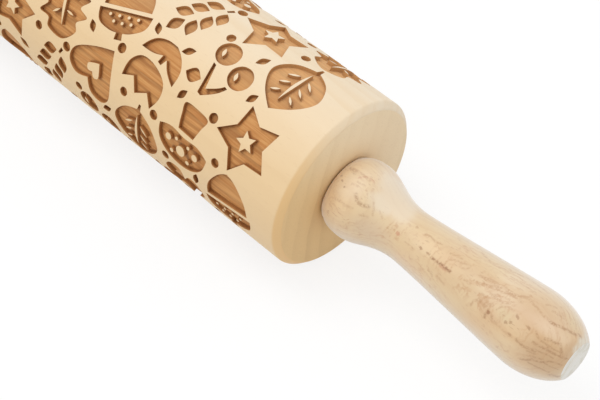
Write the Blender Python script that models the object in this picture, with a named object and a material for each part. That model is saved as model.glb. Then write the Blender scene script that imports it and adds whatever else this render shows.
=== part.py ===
"""Embossed rolling pin.

A turned beech roller spins on a steel rod. The rod is held at both ends in fixed, turned handles.
Metres, +Z up. The origin is the middle of the pin, and the pin's axis is the X axis.
"""

import math

import bmesh
import bpy
import numpy as np
from mathutils import Vector
from mathutils.geometry import delaunay_2d_cdt, interpolate_bezier

# Roller
ROLLER_DIAMETER = 0.060
ROLLER_LENGTH = 0.250
ROLLER_CHAMFER = 0.0019
ROLLER_SEGMENTS = 40

# Engraving: pockets of even depth, all round the roller, that print a raised motif in the dough
ENGRAVING_DEPTH = 0.0014
ENGRAVING_MARGIN = 0.0085
MOTIF_SIZE = 0.0219
MOTIF_ROW_SPACING = 0.0235
MOTIF_COLUMN_SPACING = 0.0205
FILLER_SIZE = 0.0050
SKIN_SPACING = 0.0072
SKIN_CLEARANCE = 0.0018
MOTIF_TILTS = [math.radians(degrees) for degrees in (-20, 10, 28, -8, 16, -30, 4)]

# Motif outlines, as shares of the motif's size: across from its middle line, and up from its centre.
# A half outline is the right side, from bottom to top, and is mirrored to the left.
LEAF_HALF_SHARES = ((0.02, -0.53), (0.035, -0.43), (0.31, -0.28), (0.455, 0), (0.31, 0.28), (0, 0.51))
LEAF_RIB_SHARES = (0.66, 0.05)
HEART_HALF_SHARES = ((0, -0.49), (0.27, -0.20), (0.465, 0.12), (0.41, 0.36), (0.20, 0.43), (0, 0.25))
HEART_ISLAND_HALF_SHARES = ((0, -0.13), (0.08, -0.04), (0.14, 0.06), (0.08, 0.135), (0, 0.08))
PETAL_SHARES = ((-0.5, 0.28), (-0.32, 0.455), (0, 0.505), (0.32, 0.455))
PETAL_COUNT = 5
FLOWER_EYE_SHARE = 0.125
CUP_HALF_SHARES = ((0, -0.09), (0.27, -0.03), (0.38, 0.16), (0.34, 0.43), (0.17, 0.28), (0, 0.46))
STEM_HALF_SHARES = (
    (0, -0.51), (0.20, -0.45), (0.35, -0.32), (0.41, -0.10), (0.20, -0.17), (0.05, -0.27), (0.036, -0.155),
)
NUT_HALF_SHARES = ((0, -0.51), (0.17, -0.42), (0.35, -0.20), (0.40, 0.03))
NUT_CAP_HALF_SHARES = ((0.45, 0.09), (0.40, 0.29), (0.22, 0.39), (0.055, 0.42), (0.07, 0.52))
CAP_HALF_SHARES = ((0, -0.01), (0.27, -0.03), (0.485, 0.05), (0.43, 0.28), (0.25, 0.44), (0, 0.50))
STALK_HALF_SHARES = ((0, -0.5), (0.23, -0.47), (0.20, -0.30), (0.15, -0.085))
CAP_SPOT_SHARES = (0.085, 0, 0.24)
GRAIN_SHARES = (0.30, 0.19)
TOP_GRAIN_RISE_SHARE = 0.37
GRAIN_OFFSET_SHARE = 0.162
GRAIN_RISE_SHARES = (0.185, -0.045, -0.275)
GRAIN_TURN = 0.75
STRAW_HALF_SHARES = ((0.028, -0.51), (0.02, -0.395))
STAR_SHARES = (0.52, 0.295)
STAR_POINTS = 5
CHERRY_SHARES = ((0.195, -0.215, -0.265), (0.195, 0.235, -0.20))
CHERRY_STEM_SHARES = (
    (-0.225, -0.03), (-0.165, -0.03), (0.03, 0.28), (0.15, 0.14), (0.205, 0.04), (0.26, 0.04), (0.20, 0.20),
    (0.05, 0.40), (-0.02, 0.40),
)
CHERRY_LEAF_SHARES = (0.28, 0.22)
CHERRY_LEAF_PLACE_SHARES = (-0.26, 0.31)
CHERRY_LEAF_TURN = 1.2
OAK_HALF_SHARES = (
    (0.024, -0.52), (0.028, -0.40), (0.27, -0.37), (0.23, -0.20), (0.45, -0.12), (0.31, 0.01), (0.46, 0.14),
    (0.28, 0.23), (0.28, 0.38), (0, 0.51),
)
OAK_RIB_SHARES = (0.62, 0.05)
SEED_SHARES = (1.0, 0.5)
DOT_SHARE = 0.34
DOT_POINTS = 6
CHERRY_POINTS = 7
FILLER_PLACE_SHARE = 0.335

# Clearances
FIT_GAP = 0.0003
RUNNING_GAP = 0.0005
BORE_CLEARANCE = 0.0012

# Steel rod
ROD_DIAMETER = 0.008
ROD_CHAMFER = 0.0008
ROD_SEAT_DEPTH = 0.040
ROD_SEGMENTS = 18

# Flanged sleeve bush, pressed into each end of the roller
BUSH_WALL = 0.0018
BUSH_LENGTH = 0.014
BUSH_CHAMFER = 0.0008
BUSH_FLANGE_DIAMETER = 0.0165
BUSH_FLANGE_THICKNESS = 0.0015

# Thrust washer, between the bush's flange and the handle
WASHER_DIAMETER = 0.016
WASHER_THICKNESS = 0.0010

# Ribbed insert, seated in the handle and gripping the rod
INSERT_DIAMETER = 0.0122
INSERT_RIB_HEIGHT = 0.0005
INSERT_RIB_COUNT = 3
INSERT_LENGTH = 0.020
INSERT_RECESS = 0.0005
INSERT_LEAD = 0.0020

# Handle
HANDLE_LENGTH = 0.0895
HANDLE_BASE_DIAMETER = 0.0232
HANDLE_BASE_ROUND = 0.0010
HANDLE_COLLAR_DIAMETER = 0.0264
HANDLE_COLLAR_STATION = 0.0074
HANDLE_NECK_DIAMETER = 0.0173
HANDLE_NECK_STATION = 0.0260
HANDLE_PALM_DIAMETER = 0.0254
HANDLE_PALM_STATION = 0.0734
HANDLE_TIP_DIAMETER = 0.0126
HANDLE_SEGMENTS = 24
COLLAR_CURVE_POINTS = 3
NECK_CURVE_POINTS = 5
PALM_CURVE_POINTS = 4
NOSE_CURVE_POINTS = 5

# How far each Bezier handle reaches along its stretch of the handle's outline, and how far the
# first one climbs at the base, so that the collar swells out at once
COLLAR_REACH_SHARES = (0.20, 0.45)
COLLAR_CLIMB_SHARE = 0.75
NECK_REACH_SHARES = (0.30, 0.48)
PALM_REACH_SHARES = (0.13, 0.10)

# Shading and merging
SMOOTH_ANGLE = math.radians(32)
MERGE_DISTANCE = 1e-7

ROLLER_RADIUS = ROLLER_DIAMETER / 2
ROLLER_END = ROLLER_LENGTH / 2
# The engraved face lies on the circle inside the flats of the rims, so that the pin rests on a flat
ENGRAVED_RADIUS = ROLLER_RADIUS * math.cos(math.pi / ROLLER_SEGMENTS)
HANDLE_BASE = ROLLER_END + RUNNING_GAP
WASHER_SEAT = HANDLE_BASE - FIT_GAP - WASHER_THICKNESS
BUSH_FACE = WASHER_SEAT - FIT_GAP
ROD_RADIUS = ROD_DIAMETER / 2
ROD_BORE_RADIUS = ROD_RADIUS + FIT_GAP
BUSH_RADIUS = ROD_BORE_RADIUS + BUSH_WALL


def clear_scene():
    for item in list(bpy.data.objects):
        bpy.data.objects.remove(item, do_unlink=True)


def make_material(name, colour, roughness, metallic=0.0):
    material = bpy.data.materials.new(name)
    material.use_nodes = True
    shader = material.node_tree.nodes["Principled BSDF"]
    shader.inputs["Base Color"].default_value = (*colour, 1.0)
    shader.inputs["Roughness"].default_value = roughness
    shader.inputs["Metallic"].default_value = metallic
    material.diffuse_color = (*colour, 1.0)
    return material


def spin_profile(bm, profile, segments, closed):
    """Spin a profile of (along the axis, radius) points about the X axis."""
    points = [bm.verts.new((along, 0, radius)) for along, radius in profile]
    pairs = list(zip(points, points[1:]))
    if closed:
        pairs.append((points[-1], points[0]))
    edges = [bm.edges.new(pair) for pair in pairs]
    bmesh.ops.spin(
        bm,
        geom=points + edges,
        cent=Vector(),
        axis=Vector((1, 0, 0)),
        angle=2 * math.pi,
        steps=segments,
        use_merge=True,
    )


def finish_mesh(name, bm):
    bmesh.ops.remove_doubles(bm, verts=bm.verts, dist=MERGE_DISTANCE)
    bmesh.ops.recalc_face_normals(bm, faces=bm.faces)
    mesh = bpy.data.meshes.new(name)
    bm.to_mesh(mesh)
    bm.free()
    return mesh


def turned_mesh(name, profile, segments, closed):
    bm = bmesh.new()
    spin_profile(bm, profile, segments, closed)
    return finish_mesh(name, bm)


def add_piece(name, mesh, material, parent, along=0.0, left=False):
    """Place a piece on the axis. A left piece is the right one turned end for end."""
    mesh.shade_smooth()
    mesh.set_sharp_from_angle(angle=SMOOTH_ANGLE)
    if not mesh.materials:
        mesh.materials.append(material)
    piece = bpy.data.objects.new(name, mesh)
    bpy.context.scene.collection.objects.link(piece)
    piece.parent = parent
    piece.location.x = -along if left else along
    piece.rotation_euler.z = math.pi if left else 0
    return piece


def add_axis(name):
    axis = bpy.data.objects.new(name, None)
    axis.empty_display_size = ROLLER_RADIUS
    bpy.context.scene.collection.objects.link(axis)
    return axis


def curve_between(start, end, reach_shares, count, climb_share=0):
    """Outline points after start up to end, as (along, radius). Level at both ends without a climb."""
    span = end[0] - start[0]
    climb = (end[1] - start[1]) * climb_share
    first = Vector((*start, 0))
    last = Vector((*end, 0))
    leave = first + Vector((span * reach_shares[0], climb, 0))
    arrive = last - Vector((span * reach_shares[1], 0, 0))
    points = interpolate_bezier(first, leave, arrive, last, count + 1)
    return [(point.x, point.y) for point in points[1:]]


def handle_profile():
    """The handle's section, from the blind end of its bore round to the tip, base at zero."""
    bore_end = ROD_SEAT_DEPTH + FIT_GAP
    socket_radius = INSERT_DIAMETER / 2 + FIT_GAP
    socket_end = INSERT_RECESS + INSERT_LENGTH + FIT_GAP
    base_radius = HANDLE_BASE_DIAMETER / 2
    edge = (HANDLE_BASE_ROUND, base_radius)
    collar = (HANDLE_COLLAR_STATION, HANDLE_COLLAR_DIAMETER / 2)
    neck = (HANDLE_NECK_STATION, HANDLE_NECK_DIAMETER / 2)
    palm = (HANDLE_PALM_STATION, HANDLE_PALM_DIAMETER / 2)
    tip_radius = HANDLE_TIP_DIAMETER / 2

    profile = [(bore_end, 0), (bore_end, ROD_BORE_RADIUS), (socket_end, ROD_BORE_RADIUS)]
    profile += [(socket_end, socket_radius), (0, socket_radius)]
    profile += [(0, base_radius - HANDLE_BASE_ROUND), edge]
    profile += curve_between(edge, collar, COLLAR_REACH_SHARES, COLLAR_CURVE_POINTS, COLLAR_CLIMB_SHARE)
    profile += curve_between(collar, neck, NECK_REACH_SHARES, NECK_CURVE_POINTS)
    profile += curve_between(neck, palm, PALM_REACH_SHARES, PALM_CURVE_POINTS)

    # The nose is a quarter of an ellipse, cut flat where its radius is the tip's
    tip_angle = math.acos(tip_radius / palm[1])
    nose_length = (HANDLE_LENGTH - palm[0]) / math.sin(tip_angle)
    for step in range(1, NOSE_CURVE_POINTS + 1):
        angle = tip_angle * step / NOSE_CURVE_POINTS
        profile.append((palm[0] + nose_length * math.sin(angle), palm[1] * math.cos(angle)))
    profile.append((HANDLE_LENGTH, 0))
    return profile


def roller_profile():
    """Half the blank's section, from the outside in, seen from the middle to the right end."""
    face_radius = ROLLER_RADIUS - ROLLER_CHAMFER
    recess_radius = max(BUSH_FLANGE_DIAMETER, WASHER_DIAMETER) / 2 + FIT_GAP
    recess_floor = BUSH_FACE - BUSH_FLANGE_THICKNESS - FIT_GAP
    socket_radius = BUSH_RADIUS + FIT_GAP
    socket_floor = BUSH_FACE - BUSH_LENGTH - FIT_GAP
    bore_radius = ROD_RADIUS + BORE_CLEARANCE
    return [
        (ROLLER_END - ROLLER_CHAMFER, ROLLER_RADIUS),
        (ROLLER_END, face_radius),
        (ROLLER_END, recess_radius),
        (recess_floor, recess_radius),
        (recess_floor, socket_radius),
        (socket_floor, socket_radius),
        (socket_floor, bore_radius),
    ]


def mirrored(half):
    """A whole outline from its right half: up the right side and down the left."""
    left = [(-across, up) for across, up in reversed(half) if across > 0]
    return list(half) + left


def turned(outline, turn, across=0.0, up=0.0):
    cos, sin = math.cos(turn), math.sin(turn)
    return [(across + p * cos - q * sin, up + p * sin + q * cos) for p, q in outline]


def ring(radius, count, across=0.0, up=0.0):
    steps = [2 * math.pi * step / count for step in range(count)]
    return [(across + radius * math.cos(step), up + radius * math.sin(step)) for step in steps]


def lens(length, width):
    """A pointed oval, as of a leaf or a grain."""
    return [(0, -length / 2), (width / 2, 0), (0, length / 2), (-width / 2, 0)]


def leaf():
    return [mirrored(LEAF_HALF_SHARES), lens(*LEAF_RIB_SHARES)]


def heart():
    return [mirrored(HEART_HALF_SHARES), mirrored(HEART_ISLAND_HALF_SHARES)]


def flower():
    sector = 2 * math.pi / PETAL_COUNT
    outline = []
    for petal in range(PETAL_COUNT):
        for offset, reach in PETAL_SHARES:
            angle = math.pi / 2 + sector * (petal + offset)
            outline.append((reach * math.cos(angle), reach * math.sin(angle)))
    return [outline, ring(FLOWER_EYE_SHARE, DOT_POINTS)]


def tulip():
    return [mirrored(CUP_HALF_SHARES), mirrored(STEM_HALF_SHARES)]


def acorn():
    return [mirrored(NUT_HALF_SHARES), mirrored(NUT_CAP_HALF_SHARES)]


def mushroom():
    radius, across, up = CAP_SPOT_SHARES
    return [mirrored(CAP_HALF_SHARES), mirrored(STALK_HALF_SHARES), ring(radius, DOT_POINTS, across, up)]


def wheat_ear():
    grain = lens(*GRAIN_SHARES)
    outlines = [mirrored(STRAW_HALF_SHARES), turned(grain, 0, up=TOP_GRAIN_RISE_SHARE)]
    for rise in GRAIN_RISE_SHARES:
        outlines.append(turned(grain, -GRAIN_TURN, GRAIN_OFFSET_SHARE, rise))
        outlines.append(turned(grain, GRAIN_TURN, -GRAIN_OFFSET_SHARE, rise))
    return outlines


def star():
    outline = []
    for step in range(2 * STAR_POINTS):
        reach = STAR_SHARES[step % 2]
        angle = math.pi / 2 + math.pi * step / STAR_POINTS
        outline.append((reach * math.cos(angle), reach * math.sin(angle)))
    return [outline]


def cherries():
    fruit = [ring(radius, CHERRY_POINTS, across, up) for radius, across, up in CHERRY_SHARES]
    small_leaf = turned(lens(*CHERRY_LEAF_SHARES), CHERRY_LEAF_TURN, *CHERRY_LEAF_PLACE_SHARES)
    return fruit + [list(CHERRY_STEM_SHARES), small_leaf]


def oak_leaf():
    return [mirrored(OAK_HALF_SHARES), lens(*OAK_RIB_SHARES)]


def seed():
    return [lens(*SEED_SHARES)]


def dot():
    return [ring(DOT_SHARE, DOT_POINTS)]


MOTIFS = (leaf, heart, flower, tulip, acorn, mushroom, wheat_ear, star, cherries, oak_leaf)
FILLERS = (seed, dot)

# How far the motif, the tilt and the filler move on along their lists with each column and row
MOTIF_STEPS = (2, 7)
TILT_STEPS = (2, 2)
FILLER_STEPS = (1, 1)


def pick(choices, steps, column, row):
    return choices[(steps[0] * column + steps[1] * row) % len(choices)]


def placed(outlines, size, turn, along, around):
    return [[(along + size * p, around + size * q) for p, q in turned(line, turn)] for line in outlines]


def engraved_outlines():
    """All the outlines on the unrolled skin, as (along the axis, round the girth)."""
    girth = 2 * math.pi * ROLLER_RADIUS
    reach = ROLLER_LENGTH - 2 * (ROLLER_CHAMFER + ENGRAVING_MARGIN) - MOTIF_SIZE
    columns = max(2, int(reach / MOTIF_COLUMN_SPACING) + 1)
    rows = max(1, int(girth / MOTIF_ROW_SPACING))
    column_step = reach / (columns - 1)
    row_step = girth / rows
    outlines = []
    for column in range(columns):
        along = column_step * column - reach / 2
        for row in range(rows):
            # Every other column is moved half a row round
            around = row_step * (row + (column % 2) / 2)
            tilt = pick(MOTIF_TILTS, TILT_STEPS, column, row)
            motif = pick(MOTIFS, MOTIF_STEPS, column, row)
            outlines += placed(motif(), MOTIF_SIZE, tilt, along, around)
            if column < columns - 1:
                filler = pick(FILLERS, FILLER_STEPS, column, row)
                beside = along + column_step * FILLER_PLACE_SHARE
                outlines += placed(filler(), FILLER_SIZE, 2 * tilt, beside, around + row_step / 2)
    return outlines


def seam_copies(outlines, girth):
    """The outlines, with a second copy a girth away of each that crosses the seam or comes near it."""
    copies = []
    for outline in outlines:
        around = [point[1] for point in outline]
        if min(around) < SKIN_CLEARANCE:
            copies.append([(p, q + girth) for p, q in outline])
        if max(around) > girth - SKIN_CLEARANCE:
            copies.append([(p, q - girth) for p, q in outline])
    return outlines + copies


def clear_of(points, outlines, clearance):
    """The points that lie further than the clearance from every outline."""
    starts = np.array([point for line in outlines for point in line])
    ends = np.array([point for line in outlines for point in line[1:] + line[:1]])
    sides = ends - starts
    lengths = np.maximum((sides**2).sum(axis=1), MERGE_DISTANCE**2)
    kept = []
    for point in points:
        offset = np.array(point) - starts
        share = np.clip((offset * sides).sum(axis=1) / lengths, 0, 1)
        gaps = offset - sides * share[:, None]
        if (gaps**2).sum(axis=1).min() > clearance**2:
            kept.append(point)
    return kept


def skin_points(end, girth):
    """A staggered grid over the unrolled skin, so that no triangle cuts far into the round."""
    rings = max(2, 2 * round(girth / SKIN_SPACING / 2))
    count = max(1, round(2 * end / SKIN_SPACING))
    step = 2 * end / count
    points = []
    for turn in range(rings + 1):
        shift = step / 2 * (turn % 2)
        points += [(-end + shift + step * k, girth * turn / rings) for k in range(1, count)]
    return points


def on_roller(along, around, radius):
    angle = around / ROLLER_RADIUS
    return (along, -radius * math.sin(angle), radius * math.cos(angle))


def add_engraved_skin(bm):
    """The roller's round face, with a floor and a radial wall for each pocket.

    The skin is triangulated flat, with every outline kept, then rolled up. A triangle within an odd
    number of outlines is pocket floor, so that an outline inside another leaves an island standing.
    The floors and walls take the roller's second material.
    """
    girth = 2 * math.pi * ROLLER_RADIUS
    end = ROLLER_END - ROLLER_CHAMFER
    outlines = seam_copies(engraved_outlines(), girth)
    rim = [girth * step / ROLLER_SEGMENTS for step in range(ROLLER_SEGMENTS + 1)]
    points = [(-end, around) for around in rim] + [(end, around) for around in rim]
    count = len(rim)
    sides = [(0, count - 1), (0, count), (count, 2 * count - 1), (count - 1, 2 * count - 1)]
    points += clear_of(skin_points(end, girth), outlines, SKIN_CLEARANCE)
    loops = []
    for outline in outlines:
        loops.append(list(range(len(points), len(points) + len(outline))))
        points += outline

    flat, _, triangles, _, _, inside = delaunay_2d_cdt(
        [Vector(point) for point in points], sides, loops, 0, MERGE_DISTANCE
    )
    corners = {}

    def corner(index, level):
        if (index, level) not in corners:
            along, around = flat[index]
            on_rim = abs(along) > end - MERGE_DISTANCE
            radius = ROLLER_RADIUS if on_rim else ENGRAVED_RADIUS - level * ENGRAVING_DEPTH
            corners[index, level] = bm.verts.new(on_roller(along, around, radius))
        return corners[index, level]

    beside = {}
    for triangle, loops_round in zip(triangles, inside):
        middle = sum(flat[index].y for index in triangle) / len(triangle)
        if not 0 < middle < girth:
            continue
        level = len(loops_round) % 2
        face = bm.faces.new([corner(index, level) for index in triangle])
        face.material_index = level
        for a, b in zip(triangle, triangle[1:] + triangle[:1]):
            beside.setdefault(frozenset((a, b)), []).append((level, a, b))
    for faces in beside.values():
        if len({face[0] for face in faces}) == 2:
            _, a, b = faces[0]
            wall = bm.faces.new([corner(a, 0), corner(b, 0), corner(b, 1), corner(a, 1)])
            wall.material_index = 1


def make_roller(material, scorched, parent):
    half = roller_profile()
    other_half = [(-along, radius) for along, radius in reversed(half)]
    bm = bmesh.new()
    spin_profile(bm, half + other_half, ROLLER_SEGMENTS, closed=False)
    add_engraved_skin(bm)
    roller = add_piece("roller", finish_mesh("roller", bm), material, parent)
    roller.data.materials.append(scorched)


def make_rod(material, parent):
    end = HANDLE_BASE + ROD_SEAT_DEPTH
    half = [(end, 0), (end, ROD_RADIUS - ROD_CHAMFER), (end - ROD_CHAMFER, ROD_RADIUS)]
    other_half = [(-along, radius) for along, radius in reversed(half)]
    mesh = turned_mesh("axle_rod", half + other_half, ROD_SEGMENTS, closed=False)
    add_piece("axle_rod", mesh, material, parent)


def make_bushes(material, parent):
    flange_radius = BUSH_FLANGE_DIAMETER / 2
    profile = [
        (0, ROD_BORE_RADIUS),
        (0, flange_radius),
        (-BUSH_FLANGE_THICKNESS, flange_radius),
        (-BUSH_FLANGE_THICKNESS, BUSH_RADIUS),
        (-BUSH_LENGTH + BUSH_CHAMFER, BUSH_RADIUS),
        (-BUSH_LENGTH, BUSH_RADIUS - BUSH_CHAMFER),
        (-BUSH_LENGTH, ROD_BORE_RADIUS),
    ]
    mesh = turned_mesh("bush", profile, ROD_SEGMENTS, closed=True)
    add_piece("right_bush", mesh, material, parent, BUSH_FACE)
    add_piece("left_bush", mesh, material, parent, BUSH_FACE, left=True)


def make_washers(material, parent):
    radius = WASHER_DIAMETER / 2
    profile = [
        (0, ROD_BORE_RADIUS),
        (0, radius),
        (WASHER_THICKNESS, radius),
        (WASHER_THICKNESS, ROD_BORE_RADIUS),
    ]
    mesh = turned_mesh("thrust_washer", profile, ROD_SEGMENTS, closed=True)
    add_piece("right_thrust_washer", mesh, material, parent, WASHER_SEAT)
    add_piece("left_thrust_washer", mesh, material, parent, WASHER_SEAT, left=True)


def make_inserts(material, parent):
    """Each rib slopes back from the base side, so that it holds in the wood."""
    crest = INSERT_DIAMETER / 2
    root = crest - INSERT_RIB_HEIGHT
    pitch = (INSERT_LENGTH - 2 * INSERT_LEAD) / INSERT_RIB_COUNT
    profile = [(0, ROD_BORE_RADIUS), (0, crest)]
    for rib in range(INSERT_RIB_COUNT):
        start = INSERT_LEAD + rib * pitch
        profile += [(start, crest), (start + pitch, root)]
    profile += [(INSERT_LENGTH - INSERT_LEAD, crest), (INSERT_LENGTH, root)]
    profile.append((INSERT_LENGTH, ROD_BORE_RADIUS))
    mesh = turned_mesh("insert", profile, ROD_SEGMENTS, closed=True)
    base = HANDLE_BASE + INSERT_RECESS
    add_piece("right_insert", mesh, material, parent, base)
    add_piece("left_insert", mesh, material, parent, base, left=True)


def make_handles(material, parent):
    mesh = turned_mesh("handle", handle_profile(), HANDLE_SEGMENTS, closed=False)
    add_piece("right_handle", mesh, material, parent, HANDLE_BASE)
    add_piece("left_handle", mesh, material, parent, HANDLE_BASE, left=True)


def main():
    clear_scene()
    beech = make_material("beech_roller", (0.86, 0.72, 0.54), 0.62)
    scorched = make_material("beech_engraving", (0.36, 0.19, 0.08), 0.75)
    handle_beech = make_material("beech_handle", (0.80, 0.62, 0.44), 0.58)
    steel = make_material("rod_steel", (0.62, 0.63, 0.64), 0.28, 1.0)
    washer_steel = make_material("washer_steel", (0.55, 0.56, 0.57), 0.35, 1.0)
    nylon = make_material("bush_nylon", (0.83, 0.82, 0.77), 0.45)
    brass = make_material("insert_brass", (0.78, 0.60, 0.28), 0.32, 1.0)

    held = add_axis("handle_set")
    spinning = add_axis("roller_axis")
    make_roller(beech, scorched, spinning)
    make_bushes(nylon, spinning)
    make_rod(steel, held)
    make_washers(washer_steel, held)
    make_inserts(brass, held)
    make_handles(handle_beech, held)


main()
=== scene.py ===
import math

import bmesh
import bpy
import numpy as np
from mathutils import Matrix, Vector, noise
from mathutils.geometry import delaunay_2d_cdt, interpolate_bezier


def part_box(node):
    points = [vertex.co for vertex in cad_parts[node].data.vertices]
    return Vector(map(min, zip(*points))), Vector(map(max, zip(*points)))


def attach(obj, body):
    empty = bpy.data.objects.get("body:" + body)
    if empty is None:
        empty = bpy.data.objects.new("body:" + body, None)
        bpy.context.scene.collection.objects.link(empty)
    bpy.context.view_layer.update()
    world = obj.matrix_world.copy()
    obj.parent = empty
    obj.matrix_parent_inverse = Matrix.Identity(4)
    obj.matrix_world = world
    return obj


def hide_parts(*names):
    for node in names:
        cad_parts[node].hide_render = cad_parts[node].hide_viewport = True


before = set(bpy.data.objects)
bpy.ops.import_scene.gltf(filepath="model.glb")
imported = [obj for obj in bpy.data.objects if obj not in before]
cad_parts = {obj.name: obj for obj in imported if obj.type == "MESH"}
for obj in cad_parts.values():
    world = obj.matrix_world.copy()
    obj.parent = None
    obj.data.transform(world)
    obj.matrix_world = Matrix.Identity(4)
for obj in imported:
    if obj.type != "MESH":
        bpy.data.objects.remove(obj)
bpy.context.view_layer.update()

rollerLow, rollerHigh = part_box("roller")
rollerRadius = rollerHigh.z
rollerEnd = rollerHigh.x
handleLow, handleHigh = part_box("right_handle")
handleLength = handleHigh.x - handleLow.x
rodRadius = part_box("axle_rod")[1].z
mergeDistance = 1e-7
creaseAngle = math.radians(35)
print("frame: roller", round(rollerRadius * 2000), "mm across, pin", round(handleHigh.x * 2000), "mm long")


camera = {
    "place": (0.3307, -0.2282, 0.3823),
    "aim": (0.1186, -0.0133, 0.0),
    "lens": 95.7,
    "clip": (0.01, 20.0),
}


def addToScene(name, data):
    made = bpy.data.objects.new(name, data)
    bpy.context.scene.collection.objects.link(made)
    return made


def aimFrom(made, place, aim):    # stands a camera or lamp at a place and turns it to what it faces
    made.location = place
    made.rotation_euler = (Vector(aim) - Vector(place)).to_track_quat("-Z", "Y").to_euler()


def makeCamera():
    data = bpy.data.cameras.new("camera")
    data.lens = camera["lens"]
    data.clip_start, data.clip_end = camera["clip"]
    view = addToScene("camera", data)
    aimFrom(view, camera["place"], camera["aim"])
    bpy.context.scene.camera = view


makeCamera()
print("camera ready")


# Helpers that add shader nodes

def feed(tree, socket, value):
    if isinstance(value, bpy.types.NodeSocket):
        tree.links.new(value, socket)
    else:
        socket.default_value = value


def addNode(tree, kind, values, **settings):
    made = tree.nodes.new("ShaderNode" + kind)
    count = len(tree.nodes)
    made.location = (220 * (count // 5), -260 * (count % 5))
    for name, value in settings.items():
        setattr(made, name, value)
    for socket, value in values.items():
        feed(tree, made.inputs[socket], value)
    return made


def calc(tree, operation, *values):
    return addNode(tree, "Math", dict(enumerate(values)), operation=operation).outputs[0]


def vectorCalc(tree, operation, *values):
    made = addNode(tree, "VectorMath", dict(enumerate(values)), operation=operation)
    return made.outputs["Value" if operation in ("LENGTH", "DISTANCE", "DOT_PRODUCT") else "Vector"]


def scaleVector(tree, vector, factor):
    return addNode(tree, "VectorMath", {0: vector, "Scale": factor}, operation="SCALE").outputs[0]


def combine(tree, x, y=0.0, z=0.0):
    return addNode(tree, "CombineXYZ", {0: x, 1: y, 2: z}).outputs[0]


def ramp(tree, value, start, end, low=0.0, high=1.0):      # a soft step from low at start to high at end
    values = {"Value": value, "From Min": start, "From Max": end, "To Min": low, "To Max": high}
    return addNode(tree, "MapRange", values, interpolation_type="SMOOTHSTEP").outputs[0]


def mixColour(tree, factor, first, second):
    values = {0: factor, 6: first, 7: second}
    return addNode(tree, "Mix", values, data_type="RGBA").outputs[2]


def noiseOf(tree, place, scale, detail=2.0, roughness=0.5):
    values = {"Vector": place, "Scale": scale, "Detail": detail, "Roughness": roughness}
    return addNode(tree, "TexNoise", values).outputs[0]


def sway(tree, place, reach, scale, detail, **settings):      # a random shift, by up to half the reach
    values = {"Vector": place, "Scale": scale, "Detail": detail}
    wave = addNode(tree, "TexNoise", values, **settings).outputs["Color"]
    return scaleVector(tree, vectorCalc(tree, "SUBTRACT", wave, (0.5, 0.5, 0.5)), reach)


def bend(tree, place, seeded, *sways):      # each sway gives its stretch, reach and detail
    for stretch, reach, detail in sways:
        shift = sway(tree, vectorCalc(tree, "MULTIPLY", seeded, stretch), reach, 1.0, detail)
        place = vectorCalc(tree, "ADD", place, shift)
    return place


def inMillimetres(tree, place):
    return vectorCalc(tree, "MULTIPLY", place, (1000, 1000, 1000))


def moveBySeed(tree, place, seed):
    return vectorCalc(tree, "ADD", place, combine(tree, seed, seed, seed))


def fromAxis(tree, place):        # the distance from the line along X
    return vectorCalc(tree, "LENGTH", vectorCalc(tree, "MULTIPLY", place, (0, 1, 1)))


def alongAndAngle(tree, place):   # where a place lies along a round piece, and its angle from the top
    parts = addNode(tree, "SeparateXYZ", {0: place}).outputs
    return parts["X"], calc(tree, "ARCTAN2", calc(tree, "MULTIPLY", parts["Y"], -1.0), parts["Z"])


def countRings(tree, place, pith, width):      # rings from the pith, share of the ring, its own value
    turns = calc(tree, "DIVIDE", fromAxis(tree, vectorCalc(tree, "SUBTRACT", place, pith)), width)
    own = addNode(tree, "TexWhiteNoise", {"W": calc(tree, "FLOOR", turns)}, noise_dimensions="1D")
    return turns, calc(tree, "FRACT", turns), own.outputs["Value"]


def startGroup(name, inputs, outputs):
    group = bpy.data.node_groups.new(name, "ShaderNodeTree")
    for socket, kind, value in inputs:
        made = group.interface.new_socket(socket, in_out="INPUT", socket_type="NodeSocket" + kind)
        if value is not None:
            made.default_value = value
    for socket, kind in outputs:
        group.interface.new_socket(socket, in_out="OUTPUT", socket_type="NodeSocket" + kind)
    given = group.nodes.new("NodeGroupInput").outputs
    result = group.nodes.new("NodeGroupOutput").inputs
    return group, given, result


def useGroup(tree, group, **values):
    made = tree.nodes.new("ShaderNodeGroup")
    made.node_tree = group
    for name, value in values.items():
        feed(tree, made.inputs[name.replace("_", " ")], value)
    return made.outputs


def startMaterial(name):
    material = bpy.data.materials.new(name)
    material.use_nodes = True
    tree = material.node_tree
    return material, tree, tree.nodes["Principled BSDF"]


def shade(values):                # sRGB 0 to 255, as a linear colour with alpha
    linear = [(v / 255 / 12.92) if v <= 10 else ((v / 255 + 0.055) / 1.055) ** 2.4 for v in values]
    return (*linear, 1.0)


def tint(tree, colour, mask, strength, values):      # lays a colour over, by the mask times the strength
    return mixColour(tree, calc(tree, "MULTIPLY", mask, strength), colour, shade(values))


def barePlace(tree):              # the place on the piece, in metres
    return addNode(tree, "TexCoord", {}).outputs["Object"]


def dress(tree, shader, colour, roughness, height, depth):
    feed(tree, shader.inputs["Base Color"], colour)
    feed(tree, shader.inputs["Roughness"], roughness)
    bump = addNode(tree, "Bump", {"Height": height, "Distance": depth, "Strength": 0.6})
    feed(tree, shader.inputs["Normal"], bump.outputs[0])


def fibreRoughness(tree, grain, roughness):
    return ramp(tree, grain["Fibres"], 0.3, 0.7, *roughness)


# Shared effects. All of them take places in metres, and all but the depth work in millimetres.

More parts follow.
